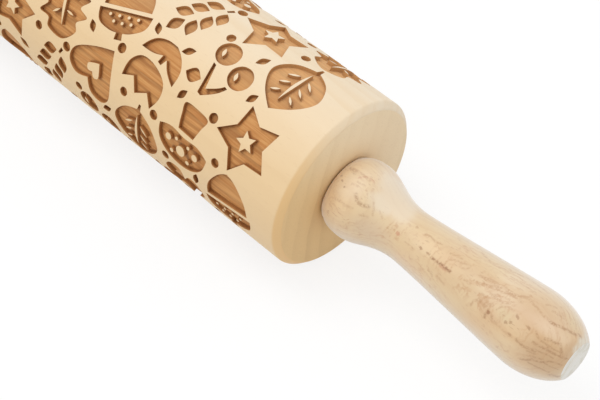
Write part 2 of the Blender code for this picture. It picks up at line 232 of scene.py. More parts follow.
def makeGrain():                  # growth rings about a pith line along X, and fine streaks along the grain
    group, given, result = startGroup(
        "woodGrain",
        [("Place", "Vector", None), ("Pith", "Vector", (0, 20, -70)), ("Ring Width", "Float", 2.6),
         ("Wander", "Float", 3.0), ("Wobble", "Float", 1.0), ("Seed", "Float", 0.0)],
        [("Rings", "Float"), ("Streaks", "Float"), ("Mottle", "Float"), ("Fibres", "Float")],
    )
    place = inMillimetres(group, given["Place"])
    seeded = moveBySeed(group, place, given["Seed"])
    bent = bend(group, place, seeded, ((0.008, 0.05, 0.05), given["Wander"], 2.0),
                ((0.09, 0.16, 0.16), given["Wobble"], 2.0))
    _, inRing, own = countRings(group, bent, given["Pith"], given["Ring Width"])
    late = calc(group, "MULTIPLY", ramp(group, inRing, 0.3, 0.9), ramp(group, inRing, 0.9, 1.0, 1.0, 0.0))
    feed(group, result["Rings"], calc(group, "MULTIPLY", late, ramp(group, own, 0, 1, 0.3, 1.0)))
    patterns = (                  # name, stretch, detail, roughness
        ("Streaks", (0.06, 1.5, 1.5), 3.0, 0.6),
        ("Mottle", (0.02, 0.11, 0.11), 2.0, 0.5),
        ("Fibres", (0.25, 5.0, 5.0), 2.0, 0.5),
    )
    for name, stretch, detail, roughness in patterns:
        spot = vectorCalc(group, "MULTIPLY", seeded, stretch)
        feed(group, result[name], noiseOf(group, spot, 1.0, detail, roughness))
    return group


def makeFlecks():                 # the short dark dashes of beech, drawn out along the grain
    group, given, result = startGroup(
        "beechFlecks",
        [("Place", "Vector", None), ("Length", "Float", 3.0), ("Width", "Float", 0.5),
         ("Share", "Float", 0.3), ("Seed", "Float", 0.0)],
        [("Flecks", "Float")],
    )
    place = inMillimetres(group, given["Place"])
    sides = combine(group, given["Length"], given["Width"], given["Width"])
    cells = vectorCalc(group, "DIVIDE", place, sides)
    cells = vectorCalc(group, "ADD", cells, combine(group, given["Seed"], given["Seed"]))
    cells = vectorCalc(group, "ADD", cells, noiseOf(group, place, 0.35, 1.0))
    spots = addNode(group, "TexVoronoi", {"Vector": cells, "Scale": 1.0}).outputs
    chosen = addNode(group, "TexWhiteNoise", {"Vector": spots["Color"]}).outputs["Value"]
    picked = calc(group, "LESS_THAN", chosen, given["Share"])
    size = ramp(group, spots["Distance"], 0.18, 0.42, 1.0, 0.0)
    feed(group, result["Flecks"], calc(group, "MULTIPLY", picked, size))
    return group


def makeDepth():                  # how far below the roller's face a place lies, from 0 to 1 at the floors
    group, given, result = startGroup(
        "pocketDepth", [("Place", "Vector", None), ("Radius", "Float", 0.03), ("Depth", "Float", 0.002)],
        [("Sunk", "Float")])
    under = calc(group, "SUBTRACT", given["Radius"], fromAxis(group, given["Place"]))
    sunk = addNode(group, "MapRange", {"Value": under, "From Min": 0.0, "From Max": given["Depth"]})
    feed(group, result["Sunk"], sunk.outputs[0])
    return group


def makeSurfaceMark():            # a soft oval on a round piece, by its place along it and its angle
    group, given, result = startGroup(
        "surfaceMark",
        [("Place", "Vector", None), ("Along", "Float", 0.0), ("Angle", "Float", 0.0),
         ("Length", "Float", 1.0), ("Width", "Float", 1.0), ("Turn", "Float", 0.0), ("Ragged", "Float", 0.5),
         ("Soft", "Float", 0.25)],
        [("Mark", "Float")],
    )
    place = inMillimetres(group, given["Place"])
    along, angle = alongAndAngle(group, place)
    around = calc(group, "MULTIPLY", calc(group, "SUBTRACT", angle, given["Angle"]), fromAxis(group, place))
    flat = combine(group, calc(group, "SUBTRACT", along, given["Along"]), around)
    turned = addNode(group, "VectorRotate", {"Vector": flat, "Angle": given["Turn"]},
                     rotation_type="Z_AXIS", invert=True).outputs[0]
    sized = vectorCalc(group, "DIVIDE", turned, combine(group, given["Length"], given["Width"], 1.0))
    own = combine(group, given["Along"], given["Angle"], given["Turn"])
    rough = noiseOf(group, vectorCalc(group, "ADD", sized, own), 3.0, 3.0)
    rough = calc(group, "MULTIPLY", calc(group, "SUBTRACT", rough, 0.5), given["Ragged"])
    reach = calc(group, "ADD", vectorCalc(group, "LENGTH", sized), rough)
    inner = calc(group, "SUBTRACT", 0.5, given["Soft"])
    feed(group, result["Mark"], ramp(group, reach, inner, 0.5, 1.0, 0.0))
    return group


def makeDrawnMetal():             # fine lines round or along a metal piece, and uneven dulling
    group, given, result = startGroup(
        "drawnMetal",
        [("Place", "Vector", None), ("Bright", "Color", (0.6, 0.6, 0.6, 1)),
         ("Dull", "Color", (0.4, 0.4, 0.4, 1)), ("Lines", "Vector", (0.05, 9.0, 9.0))],
        [("Color", "Color"), ("Wear", "Float"), ("Height", "Float")],
    )
    place = inMillimetres(group, given["Place"])
    lines = noiseOf(group, vectorCalc(group, "MULTIPLY", place, given["Lines"]), 1.0)
    dulled = ramp(group, noiseOf(group, place, 0.22, 4.0), 0.35, 0.65)
    feed(group, result["Color"], mixColour(group, dulled, given["Bright"], given["Dull"]))
    wear = calc(group, "ADD", calc(group, "MULTIPLY", dulled, 0.6), calc(group, "MULTIPLY", lines, 0.4))
    feed(group, result["Wear"], wear)
    feed(group, result["Height"], lines)
    return group


def makeWavyLines():              # thin wavy lines where a flat-sawn face meets the rings, with patches
    group, given, result = startGroup(
        "wavyLines",
        [("Place", "Vector", None), ("Pith", "Vector", (0, 20, -70)), ("Spacing", "Float", 1.2),
         ("Wander", "Float", 5.0), ("Ripple", "Float", 1.0), ("Seed", "Float", 0.0)],
        [("Lines", "Float"), ("Dashes", "Float"), ("Patchy", "Float")],
    )
    place = inMillimetres(group, given["Place"])
    seeded = moveBySeed(group, place, given["Seed"])
    bent = bend(group, place, seeded, ((0.03, 0.07, 0.07), given["Wander"], 2.0),
                ((0.22, 0.42, 0.42), given["Ripple"], 3.0))
    turns, inRing, own = countRings(group, bent, given["Pith"], given["Spacing"])
    toLine = calc(group, "ABSOLUTE", calc(group, "SUBTRACT", inRing, 0.5))
    line = ramp(group, toLine, 0.0, 0.2, 1.0, 0.0)
    line = calc(group, "MULTIPLY", line, ramp(group, own, 0.1, 0.9, 0.25, 1.0))
    along = addNode(group, "SeparateXYZ", {0: bent}).outputs["X"]
    drawn = combine(group, calc(group, "MULTIPLY", along, 0.28), turns, given["Seed"])
    broken = ramp(group, noiseOf(group, drawn, 0.9, 1.0), 0.38, 0.58, 0.15, 1.0)
    feed(group, result["Lines"], calc(group, "MULTIPLY", line, broken))
    feed(group, result["Dashes"], noiseOf(group, drawn, 1.9, 2.0, 0.6))
    patchy = noiseOf(group, vectorCalc(group, "MULTIPLY", seeded, (0.07, 0.2, 0.2)), 1.0)
    feed(group, result["Patchy"], ramp(group, patchy, 0.38, 0.62))
    return group


def makeUnrolled():               # a round face laid flat, with a slight waviness
    group, given, result = startGroup(
        "unrolledFace",
        [("Place", "Vector", None), ("Girth Radius", "Float", 11.0), ("Waviness", "Float", 0.45)],
        [("Spot", "Vector"), ("Broken", "Float")],
    )
    place = inMillimetres(group, given["Place"])
    along, angle = alongAndAngle(group, place)
    flat = combine(group, along, calc(group, "MULTIPLY", angle, given["Girth Radius"]))
    wave = sway(group, flat, given["Waviness"], 0.6, 3.0, noise_dimensions="2D")
    wave = vectorCalc(group, "MULTIPLY", wave, (1, 1, 0))
    feed(group, result["Spot"], vectorCalc(group, "ADD", flat, wave))
    feed(group, result["Broken"], ramp(group, noiseOf(group, place, 1.5), 0.36, 0.56, 0.25, 1.0))
    return group


def makeStroke():                 # a thin stroke from one place to another on the flat face
    group, given, result = startGroup(
        "woodStroke",
        [("Spot", "Vector", None), ("Start", "Vector", (0, 0, 0)), ("End", "Vector", (1, 0, 0)),
         ("Width", "Float", 0.6)],
        [("Stroke", "Float")],
    )
    gone = vectorCalc(group, "SUBTRACT", given["Spot"], given["Start"])
    way = vectorCalc(group, "SUBTRACT", given["End"], given["Start"])
    share = vectorCalc(group, "DOT_PRODUCT", gone, way)
    share = calc(group, "DIVIDE", share, vectorCalc(group, "DOT_PRODUCT", way, way))
    share = addNode(group, "Clamp", {"Value": share}).outputs[0]
    gap = vectorCalc(group, "DISTANCE", gone, scaleVector(group, way, share))
    gap = calc(group, "DIVIDE", gap, given["Width"])
    feed(group, result["Stroke"], ramp(group, gap, 0.0, 0.75, 1.0, 0.0))
    return group


woodGrain = makeGrain()
unrolledFace = makeUnrolled()
woodStroke = makeStroke()
wavyLines = makeWavyLines()
beechFlecks = makeFlecks()
pocketDepth = makeDepth()
surfaceMark = makeSurfaceMark()
drawnMetal = makeDrawnMetal()
print("shader groups ready")


roller = {
    "chamfer": 0.0019,
    "edgeRound": 0.00045,
    "bevelReach": 0.0003,                            # how far past the chamfer its sanding goes
    "sides": 176,
    "fitGap": 0.0003,
    "boreClearance": 0.0012,
    "bushWall": 0.0018,
    "flangeThickness": 0.0015,
    "pith": (0, 34, -96),                            # millimetres
    "endPith": (0, 150, -40),
    "wander": 9.0,
    "endWander": 5.0,
    "ringWidth": 3.4,
    "floorRingWidth": 1.7,
    "endRingWidth": 6.5,
    "shadeWay": (0, -0.8, -0.6),                      # painted shade: the wood turns warmer and darker this way, toward the bottom and the front, and stays paler on the lit top and back
    "faceShadeReach": (-0.036, 0.014),
    "endShadeReach": (-0.018, 0.014),
    "litReach": (-0.026, 0.0),
    "palest": (247, 230, 203),
    "shadedWarm": (242, 210, 162),
    "ringShade": (232, 198, 150),
    "ringStrength": 0.22,
    "fleck": (196, 150, 104),
    "fleckStrength": 0.12,
    "chamferShadeTint": (239, 198, 139),
    "faceRoughness": (0.52, 0.62),
    "fibreDepth": 0.00002,
    "sheen": 0.08,
    "endPale": (249, 226, 189),
    "endShadedWarm": (235, 200, 145),
    "endRing": (210, 172, 120),
    "endRingStrength": (0.1, 0.34),                  # on the pale, lit side and on the side of painted shade
    "endFleck": (176, 132, 88),
    "endFleckStrength": 0.14,
    "endRoughness": (0.55, 0.66),
    "floorPale": (223, 165, 100),
    "floorBrown": (198, 133, 71),
    "floorDark": (128, 78, 36),
    "floorLit": (240, 194, 138),
    "floorLitStrength": 0.5,
    "bandStrength": 0.45,
    "burntAndShadeStrength": 0.6,
    "floorRoughness": (0.66, 0.8),
    "floorGrainDepth": 0.00012,
    "charred": (156, 100, 46),
    "charredTop": (200, 146, 88),
    "charredLit": (206, 160, 106),
    "charredLitStrength": 0.75,
    "wallRoughness": (0.7, 0.85),
    "wallGrainDepth": 0.00008,
}

engraving = {
    "depth": 0.0014,
    "margin": 0.0085,
    "motifSize": 0.0219,
    "rowSpacing": 0.0235,
    "columnSpacing": 0.0205,
    "tilts": (-20, 10, 28, -8, 16, -30, 4),          # degrees
    "motifSteps": (2, 7),                            # from one motif to the next, along and round
    "fillerSize": 0.0050,
    "fillerPlace": 0.335,                            # share of the column step past the motif
    "smallFillerSize": 0.0044,
    "smallFillerPlace": 0.665,
    "curveSteps": 6,
    "gridStep": 0.0013,
    "floorClearance": 0.00045,
    "faceClearance": 0.0011,
    "shadeReach": 0.0015,                            # how far from an outline its scorching and painted shade are told
    "relief": 0.00007,                               # unevenness of the floors
    "reliefGrain": (0.009, 0.0024),                  # its length along the grain, and across it
}

faceFinish, floorFinish, wallFinish, endFinish, bevelFinish = range(5)      # the roller's material slots

# Half outlines run up the right side, as shares of the motif's size: across, up, and 1 at a corner
halfOutlines = {
    "leaf": (
        (0.02, -0.53, 1), (0.035, -0.43, 1), (0.31, -0.28, 0), (0.455, 0, 0), (0.31, 0.28, 0), (0, 0.51, 1),
    ),
    "heart": (
        (0, -0.49, 1), (0.27, -0.20, 0), (0.465, 0.12, 0), (0.41, 0.36, 0), (0.20, 0.43, 0), (0, 0.25, 1),
    ),
    "heartIsland": ((0, -0.13, 1), (0.08, -0.04, 0), (0.14, 0.06, 0), (0.08, 0.135, 0), (0, 0.08, 1)),
    "cup": (
        (0, -0.09, 0), (0.27, -0.03, 0), (0.38, 0.16, 0), (0.34, 0.43, 1), (0.17, 0.28, 1), (0, 0.46, 1),
    ),
    "tulipStem": (
        (0, -0.51, 1), (0.20, -0.45, 0), (0.35, -0.32, 0), (0.41, -0.10, 1), (0.20, -0.17, 0),
        (0.05, -0.27, 1), (0.036, -0.155, 1),
    ),
    "nut": ((0, -0.51, 1), (0.17, -0.42, 0), (0.35, -0.20, 0), (0.40, 0.03, 1)),
    "nutCap": ((0.45, 0.09, 1), (0.40, 0.29, 0), (0.22, 0.39, 0), (0.055, 0.42, 1), (0.07, 0.52, 1)),
    "mushroomCap": (
        (0, -0.01, 0), (0.27, -0.03, 0), (0.485, 0.05, 1), (0.43, 0.28, 0), (0.25, 0.44, 0), (0, 0.50, 0),
    ),
    "stalk": ((0, -0.5, 0), (0.23, -0.47, 0), (0.20, -0.30, 0), (0.15, -0.085, 1)),
    "strawAndHighlight": ((0.028, -0.51, 1), (0.02, -0.395, 1)),
    "oak": (
        (0.024, -0.52, 1), (0.028, -0.40, 1), (0.27, -0.37, 0), (0.23, -0.20, 0), (0.45, -0.12, 0),
        (0.31, 0.01, 0), (0.46, 0.14, 0), (0.28, 0.23, 0), (0.28, 0.38, 0), (0, 0.51, 0),
    ),
}
# A petal's knots: share of a fifth turn, reach, and 1 at a corner
petalKnots = (
    (-0.5, 0.28, 1), (-0.32, 0.455, 0), (0, 0.505, 0), (0.32, 0.455, 0),
)
cherryStem = (
    (-0.225, -0.03, 1), (-0.165, -0.03, 1), (0.03, 0.28, 1), (0.15, 0.14, 0), (0.205, 0.04, 1),
    (0.26, 0.04, 1), (0.20, 0.20, 0), (0.05, 0.40, 1), (-0.02, 0.40, 1),
)


def whole(name):                  # mirrors a half outline to the left side
    half = halfOutlines[name]
    return list(half) + [(-p, q, sharp) for p, q, sharp in reversed(half) if p > 0]


def turned(knots, turn, across=0.0, up=0.0):
    cos, sin = math.cos(turn), math.sin(turn)
    return [(across + p * cos - q * sin, up + p * sin + q * cos, sharp) for p, q, sharp in knots]


def ring(radius, across=0.0, up=0.0, count=6):
    steps = [2 * math.pi * k / count for k in range(count)]
    return [(across + radius * math.cos(step), up + radius * math.sin(step), 0) for step in steps]


def lens(length, width, across=0.0, up=0.0, turn=0.0):
    knots = [(0, -length / 2, 1), (width / 2, 0, 0), (0, length / 2, 1), (-width / 2, 0, 0)]
    return turned(knots, turn, across, up)


def starOutline(outer, inner, points=5):
    knots = []
    for k in range(2 * points):
        reach = (outer, inner)[k % 2]
        angle = math.pi / 2 + math.pi * k / points
        knots.append((reach * math.cos(angle), reach * math.sin(angle), 1))
    return knots


def leaf():
    veins = [lens(0.19 - 0.02 * k, 0.034, side * 0.155, 0.175 * k - 0.115, -side * 0.95)
             for k in range(3) for side in (1, -1)]
    return [whole("leaf"), lens(0.66, 0.05)] + veins


def heart():
    return [whole("heart"), whole("heartIsland")]


def flower():
    knots = []
    for petal in range(5):
        for offset, reach, sharp in petalKnots:
            angle = math.pi / 2 + 2 * math.pi / 5 * (petal + offset)
            knots.append((reach * math.cos(angle), reach * math.sin(angle), sharp))
    return [knots, ring(0.125), ring(0.06)]


def tulip():
    return [whole("cup"), whole("tulipStem")]


def acorn():
    pimples = ((-0.24, 0.17), (-0.08, 0.17), (0.08, 0.17), (0.24, 0.17),
               (-0.15, 0.265), (0, 0.275), (0.15, 0.265))
    return [whole("nut"), whole("nutCap")] + [ring(0.024, p, q) for p, q in pimples]


def mushroom():
    spots = ((0.085, 0, 0.24), (0.055, 0.27, 0.16), (0.055, -0.27, 0.16), (0.035, 0.16, 0.345),
             (0.035, -0.16, 0.345), (0.028, 0.12, 0.09), (0.028, -0.12, 0.09))
    return [whole("mushroomCap"), whole("stalk")] + [ring(*spot) for spot in spots]


def wheatEar():
    grains = [lens(0.30, 0.19, 0, 0.37)]
    for rise in (0.185, -0.045, -0.275):
        grains += [lens(0.30, 0.19, side * 0.162, rise, -side * 0.75) for side in (1, -1)]
    return [whole("strawAndHighlight")] + grains


def star():
    return [starOutline(0.52, 0.295), starOutline(0.165, 0.078)]


def cherries():
    fruit = [ring(0.195, -0.215, -0.265, 8), ring(0.195, 0.235, -0.20, 8)]
    glints = [lens(0.14, 0.056, -0.275, -0.225, -0.6), lens(0.14, 0.056, 0.175, -0.16, -0.6)]
    return fruit + glints + [list(cherryStem), lens(0.28, 0.22, -0.26, 0.31, 1.2)]


def oakLeaf():
    veins = [lens(0.15, 0.034, side * 0.135, 0.26 * k - 0.15, -side * 1.15)
             for k in range(2) for side in (1, -1)]
    return [whole("oak"), lens(0.62, 0.05)] + veins


motifs = (leaf, heart, flower, tulip, acorn, mushroom, wheatEar, star, cherries, oakLeaf)
fillers = ([lens(1.0, 0.5)], [ring(0.34)])
smallFillers = ([ring(0.36)], [lens(1.0, 0.55)])


def smoothed(knots):              # curves between the knots, straight where both ends are corners
    places = [Vector((p, q, 0)) for p, q, sharp in knots]
    steps = engraving["curveSteps"] + 1
    outline = []
    for k, start in enumerate(places):
        after = (k + 1) % len(places)
        end = places[after]
        outline.append(start)
        if knots[k][2] and knots[after][2]:
            continue
        startPull = (end - places[k - 1]) / 2
        endPull = (places[(k + 2) % len(places)] - start) / 2
        if knots[k][2]:
            startPull = 1.5 * (end - start) - endPull / 2
        if knots[after][2]:
            endPull = 1.5 * (end - start) - startPull / 2
        outline += interpolate_bezier(start, start + startPull / 3, end - endPull / 3, end, steps)[1:-1]
    return outline


def placed(shapes, size, turn, along, around):
    return [[(along + size * point.x, around + size * point.y) for point in smoothed(turned(knots, turn))]
            for knots in shapes]


def engravedOutlines(girth):      # every outline on the unrolled face: along the axis, round the girth
    reach = 2 * (rollerEnd - roller["chamfer"] - engraving["margin"]) - engraving["motifSize"]
    columns = int(reach / engraving["columnSpacing"]) + 1
    rows = int(girth / engraving["rowSpacing"])
    columnStep, rowStep = reach / (columns - 1), girth / rows
    tilts = engraving["tilts"]
    stepAlong, stepAround = engraving["motifSteps"]
    outlines = []
    for column in range(columns):
        along = columnStep * column - reach / 2
        for row in range(rows):
            around = rowStep * (row + (column % 2) / 2)
            tilt = math.radians(tilts[(2 * column + 2 * row) % len(tilts)])
            motif = motifs[(stepAlong * column + stepAround * row) % len(motifs)]
            outlines += placed(motif(), engraving["motifSize"], tilt, along, around)
            if column == columns - 1:
                continue
            filler = fillers[(column + row) % len(fillers)]
            beside = along + columnStep * engraving["fillerPlace"]
            outlines += placed(filler, engraving["fillerSize"], 2 * tilt, beside, around + rowStep / 2)
            filler = smallFillers[(column + row) % len(smallFillers)]
            beside = along + columnStep * engraving["smallFillerPlace"]
            outlines += placed(filler, engraving["smallFillerSize"], 2 * tilt, beside, around)
    return outlines


def seamCopies(outlines, girth):  # outlines by the seam stand at both of its sides
    near = 2 * engraving["shadeReach"]
    copies = []
    for outline in outlines:
        rounds = [point[1] for point in outline]
        if min(rounds) < near:
            copies.append([(p, q + girth) for p, q in outline])
        if max(rounds) > girth - near:
            copies.append([(p, q - girth) for p, q in outline])
    return outlines + copies


def readGrid(points, outlines):   # each point's distance to the nearest outline, and if it is in a pocket
    far = engraving["shadeReach"]
    distance = np.full(len(points), far)
    inside = np.zeros(len(points), bool)
    for outline in outlines:
        starts = np.array(outline)
        ends = np.roll(starts, -1, axis=0)
        low, high = starts.min(axis=0) - far, starts.max(axis=0) + far
        near = np.flatnonzero(((points > low) & (points < high)).all(axis=1))
        if not len(near):
            continue
        spots = points[near][:, None, :]
        sides = ends - starts
        share = ((spots - starts) * sides).sum(axis=2) / (sides ** 2).sum(axis=1)
        gaps = spots - starts - sides * np.clip(share, 0, 1)[:, :, None]
        distance[near] = np.minimum(distance[near], np.sqrt((gaps ** 2).sum(axis=2)).min(axis=1))
        over = (starts[:, 1] > spots[:, :, 1]) != (ends[:, 1] > spots[:, :, 1])
        slope = sides[:, 0] / np.where(sides[:, 1] == 0, 1, sides[:, 1])
        crossing = starts[:, 0] + slope * (spots[:, :, 1] - starts[:, 1])
        inside[near] ^= ((over & (spots[:, :, 0] < crossing)).sum(axis=1) % 2).astype(bool)
    return distance, inside


def faceGrid(end, girth):         # a staggered grid of the unrolled face, and its sparse points
    step = engraving["gridStep"]
    rows = 2 * round(girth / step / math.sqrt(3))
    count = round(2 * end / step)
    points, sparse = [], []
    for row in range(rows + 1):
        shift = 0.5 * (row % 2)
        for k in range(1, count):
            points.append((-end + 2 * end * (k + shift) / count, girth * row / rows))
            sparse.append(row % 2 == 0 and (k + row // 2) % 2 == 0)
    points = np.array(points)
    kept = points[:, 0] < end - step / 2
    return points[kept], np.array(sparse)[kept]


def rolledUp(along, around, radius):
    angle = around / rollerRadius
    return Vector((along, -radius * math.sin(angle), radius * math.cos(angle)))


def addFace(bm, shadeLayer):      # the engraved round face, triangulated flat and then rolled up
    girth = 2 * math.pi * rollerRadius
    end = rollerEnd - roller["chamfer"] - roller["edgeRound"]
    outlines = seamCopies(engravedOutlines(girth), girth)
    rim = [girth * k / roller["sides"] for k in range(roller["sides"] + 1)]
    points = [(-end, around) for around in rim] + [(end, around) for around in rim]
    last = len(rim)
    edges = [(0, last - 1), (0, last), (last, 2 * last - 1), (last - 1, 2 * last - 1)]
    grid, sparse = faceGrid(end, girth)
    distance, inside = readGrid(grid, outlines)
    floorPoints = inside & (distance > engraving["floorClearance"])
    facePoints = ~inside & sparse & (distance > engraving["faceClearance"])
    kept = floorPoints | facePoints
    fromEdge = [engraving["shadeReach"]] * len(points) + list(distance[kept])
    points += [tuple(point) for point in grid[kept]]
    loops = []
    for outline in outlines:
        loops.append(list(range(len(points), len(points) + len(outline))))
        points += outline
    flat, _, triangles, sources, _, within = delaunay_2d_cdt(
        [Vector(point) for point in points], edges, loops, 0, mergeDistance)
    print("face:", len(points), "points in,", len(flat), "out,", len(triangles), "triangles")
    levels = (rollerRadius, rollerRadius - engraving["depth"])
    grainLength, grainWidth = engraving["reliefGrain"]
    corners = {}

    def corner(index, level):     # level 0 is the round face, and 1 a pocket's floor
        if (index, level) not in corners:
            source = min(sources[index]) if sources[index] else len(points)
            gap = fromEdge[source] if source < len(fromEdge) else 0.0
            place = rolledUp(*flat[index], levels[level])
            if level and gap:
                spot = Vector((place.x / grainLength, place.y / grainWidth, place.z / grainWidth))
                place = rolledUp(*flat[index], levels[level] + engraving["relief"] * noise.noise(spot))
            made = bm.verts.new(place)
            made[shadeLayer] = 1 - gap / engraving["shadeReach"]
            corners[index, level] = made
        return corners[index, level]

    beside = {}
    for triangle, loopsRound in zip(triangles, within):
        middle = sum(flat[index].y for index in triangle) / 3
        if not 0 < middle < girth:
            continue
        level = len(loopsRound) % 2
        face = bm.faces.new([corner(index, level) for index in triangle])
        face.material_index = (faceFinish, floorFinish)[level]
        for a, b in zip(triangle, triangle[1:] + triangle[:1]):
            beside.setdefault(frozenset((a, b)), []).append((level, a, b))
    for faces in beside.values():
        if len({face[0] for face in faces}) == 2:
            _, a, b = faces[0]
            wall = bm.faces.new([corner(a, 0), corner(b, 0), corner(b, 1), corner(a, 1)])
            wall.material_index = wallFinish


def roundedCorner(before, at, after, radius, steps=4):      # replaces a profile's corner by a short curve
    before, at, after = (Vector((*point, 0)) for point in (before, at, after))
    start = at + (before - at).normalized() * radius
    stop = at + (after - at).normalized() * radius
    curve = interpolate_bezier(start, start.lerp(at, 0.55), stop.lerp(at, 0.55), stop, steps + 1)
    return [(point.x, point.y) for point in curve]


def spinProfile(bm, profile, sides):      # turns an outline of places along and radii about the axis
    points = [bm.verts.new((along, 0, radius)) for along, radius in profile]
    edges = [bm.edges.new(pair) for pair in zip(points, points[1:])]
    bmesh.ops.spin(bm, geom=points + edges, cent=Vector(), axis=Vector((1, 0, 0)), angle=2 * math.pi,
                   steps=sides, use_merge=True)


def addRollerEnd(bm, side):       # chamfer, end face, bush recess and bore
    chamfer, edge, gap = roller["chamfer"], roller["edgeRound"], roller["fitGap"]
    bushLow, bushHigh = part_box("right_bush")
    recessRadius = bushHigh.z + gap
    recessFloor = bushHigh.x - roller["flangeThickness"] - gap
    socketRadius = rodRadius + gap + roller["bushWall"] + gap
    socketFloor = bushLow.x - gap
    boreRadius = rodRadius + roller["boreClearance"]
    shoulder = (rollerEnd - chamfer, rollerRadius)
    brow = (rollerEnd, rollerRadius - chamfer)
    face = (rollerEnd, recessRadius)
    profile = roundedCorner((0, rollerRadius), shoulder, brow, edge)
    profile += roundedCorner(shoulder, brow, face, edge)
    profile += roundedCorner(brow, face, (recessFloor, recessRadius), edge / 2)
    profile += [(recessFloor, recessRadius), (recessFloor, socketRadius), (socketFloor, socketRadius)]
    profile += [(socketFloor, boreRadius), (0, boreRadius)]
    spinProfile(bm, [(side * along, radius) for along, radius in profile], roller["sides"])


def finishMesh(bm, name):
    bmesh.ops.remove_doubles(bm, verts=bm.verts, dist=mergeDistance)
    bmesh.ops.recalc_face_normals(bm, faces=bm.faces)
    mesh = bpy.data.meshes.new(name)
    bm.to_mesh(mesh)
    bm.free()
    mesh.shade_smooth()
    mesh.set_sharp_from_angle(angle=creaseAngle)
    return mesh


def addPiece(name, mesh, *materials):
    for material in materials:
        mesh.materials.append(material)
    return addToScene(name, mesh)


def setRoundNormals(mesh):        # the bare face is shaded as a true cylinder; zero keeps a corner's normal
    normals = np.zeros((len(mesh.loops), 3))
    for face in mesh.polygons:
        if face.material_index == faceFinish:
            for loop in face.loop_indices:
                place = mesh.vertices[mesh.loops[loop].vertex_index].co
                normals[loop] = Vector((0, place.y, place.z)).normalized()
    mesh.normals_split_custom_set(normals.tolist())


def makeRoller(materials):
    bm = bmesh.new()
    shadeLayer = bm.verts.layers.float.new("edgeShade")
    addFace(bm, shadeLayer)
    faceCount = len(bm.faces)
    addRollerEnd(bm, 1)
    addRollerEnd(bm, -1)
    bm.faces.ensure_lookup_table()
    for face in bm.faces[faceCount:]:
        face.material_index = endFinish
    mesh = finishMesh(bm, "engraved_roller")
    bevelStart = rollerRadius - roller["chamfer"] - roller["bevelReach"]
    for face in mesh.polygons:                       # the bevels are sanded like the round face
        if face.material_index == endFinish and Vector(face.center.yz).length > bevelStart:
            face.material_index = bevelFinish
    setRoundNormals(mesh)
    made = addPiece("engraved_roller", mesh, *materials)
    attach(made, "spinning_roller")
    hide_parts("roller")


def shadedSide(tree, place, reach):      # 0 on the pale, lit side and 1 on the side of painted shade, warmer and darker toward the bottom and front
    return ramp(tree, vectorCalc(tree, "DOT_PRODUCT", place, roller["shadeWay"]), *reach)


def litSide(tree, place, strength):      # painted light: floors and walls turn paler on the top and back of the roller
    return ramp(tree, shadedSide(tree, place, roller["litReach"]), 0, 1, strength, 0.0)


def rollerGrain(tree, place, ringWidth, seed=0.0):
    return useGroup(tree, woodGrain, Place=place, Pith=roller["pith"], Ring_Width=ringWidth,
                    Wander=roller["wander"], Seed=seed)


def makeBareBeech():
    material, tree, shader = startMaterial("bareBeech")
    place = barePlace(tree)
    grain = rollerGrain(tree, place, roller["ringWidth"])
    flecks = useGroup(tree, beechFlecks, Place=place, Length=2.6, Width=0.42, Share=0.16)["Flecks"]
    # painted shade: the round face turns warmer and darker toward the bottom and the front
    shadedWarmth = shadedSide(tree, place, roller["faceShadeReach"])
    colour = mixColour(tree, shadedWarmth, shade(roller["palest"]), shade(roller["shadedWarm"]))
    colour = tint(tree, colour, grain["Rings"], roller["ringStrength"], roller["ringShade"])
    soft = ramp(tree, grain["Mottle"], 0.3, 0.7, 0.0, roller["ringStrength"])
    colour = mixColour(tree, soft, colour, shade(roller["ringShade"]))
    colour = tint(tree, colour, flecks, roller["fleckStrength"], roller["fleck"])
    outward = calc(tree, "ABSOLUTE", addNode(tree, "SeparateXYZ", {0: place}).outputs["X"])
    rim = rollerEnd - roller["chamfer"]
    # painted shade: the chamfer turns golden on the shaded side, toward the bottom and the front
    shadedBevel = ramp(tree, outward, rim - 0.0004, rim + 0.0004)
    shadedBevel = calc(tree, "MULTIPLY", shadedBevel, shadedSide(tree, place, roller["endShadeReach"]))
    colour = mixColour(tree, shadedBevel, colour, shade(roller["chamferShadeTint"]))
    roughness = fibreRoughness(tree, grain, roller["faceRoughness"])
    dress(tree, shader, colour, roughness, grain["Fibres"], roller["fibreDepth"])
    shader.inputs["Sheen Weight"].default_value = roller["sheen"]
    return material


def makeFloorBeech():             # the scorched pocket floors, streaked along the grain
    material, tree, shader = startMaterial("scorchedFloor")
    place = barePlace(tree)
    grain = rollerGrain(tree, place, roller["floorRingWidth"], 3.0)
    streak = ramp(tree, grain["Streaks"], 0.32, 0.68)
    colour = mixColour(tree, streak, shade(roller["floorBrown"]), shade(roller["floorPale"]))
    colour = tint(tree, colour, grain["Rings"], roller["bandStrength"], roller["floorDark"])
    # darker near the walls: the laser's scorch, and painted shade in the pocket's corners
    nearEdge = addNode(tree, "Attribute", {}, attribute_name="edgeShade").outputs["Fac"]
    burntAndShaded = ramp(tree, nearEdge, 0.45, 1.0)
    colour = tint(tree, colour, burntAndShaded, roller["burntAndShadeStrength"], roller["floorDark"])
    # painted light on the floors of the roller's top and back
    light = litSide(tree, place, roller["floorLitStrength"])
    colour = mixColour(tree, light, colour, shade(roller["floorLit"]))
    uneven = calc(tree, "ADD", grain["Streaks"], calc(tree, "MULTIPLY", grain["Fibres"], 0.5))
    roughness = fibreRoughness(tree, grain, roller["floorRoughness"])
    dress(tree, shader, colour, roughness, uneven, roller["floorGrainDepth"])
    return material


